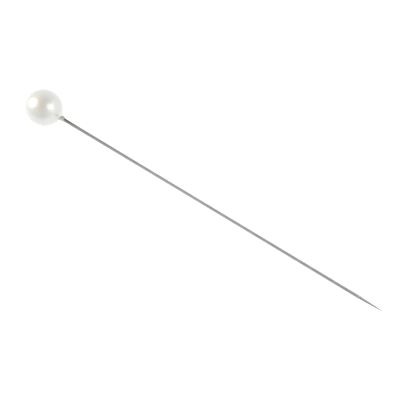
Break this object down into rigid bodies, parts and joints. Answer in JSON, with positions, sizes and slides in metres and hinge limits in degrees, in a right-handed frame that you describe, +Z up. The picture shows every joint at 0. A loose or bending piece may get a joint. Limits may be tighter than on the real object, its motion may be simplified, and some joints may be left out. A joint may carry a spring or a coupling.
{
  "type": "hat pin",
  "caption": "Hat pin with a round imitation-pearl head, a swaged metal collar and a long straight steel shank ground to a fine point.",
  "frame": {"origin": "middle of the bounding box, on the table that the pin lies on", "axes": "+X from the head to the point, +Z up; the shank's own axis slopes down to the point by 2.68 degrees, because the head and the point both rest on the table"},
  "size_m": [0.088, 0.008, 0.008],
  "materials": {
    "pearl": "pearlescent lacquer, white with faint pink and green",
    "bead": "moulded, as it comes from the mould",
    "wire": "drawn steel wire, nickel plated, with a ground point",
    "collar_metal": "nickel-plated sleeve, its end swaged onto the wire",
    "glue": "set cream adhesive, smooth"
  },
  "bodies": {
    "root": {"bead_core": "bead", "pearl_coat": "pearl", "shank": "wire", "collar": "collar_metal", "adhesive": "glue"}
  },
  "joints": []
}
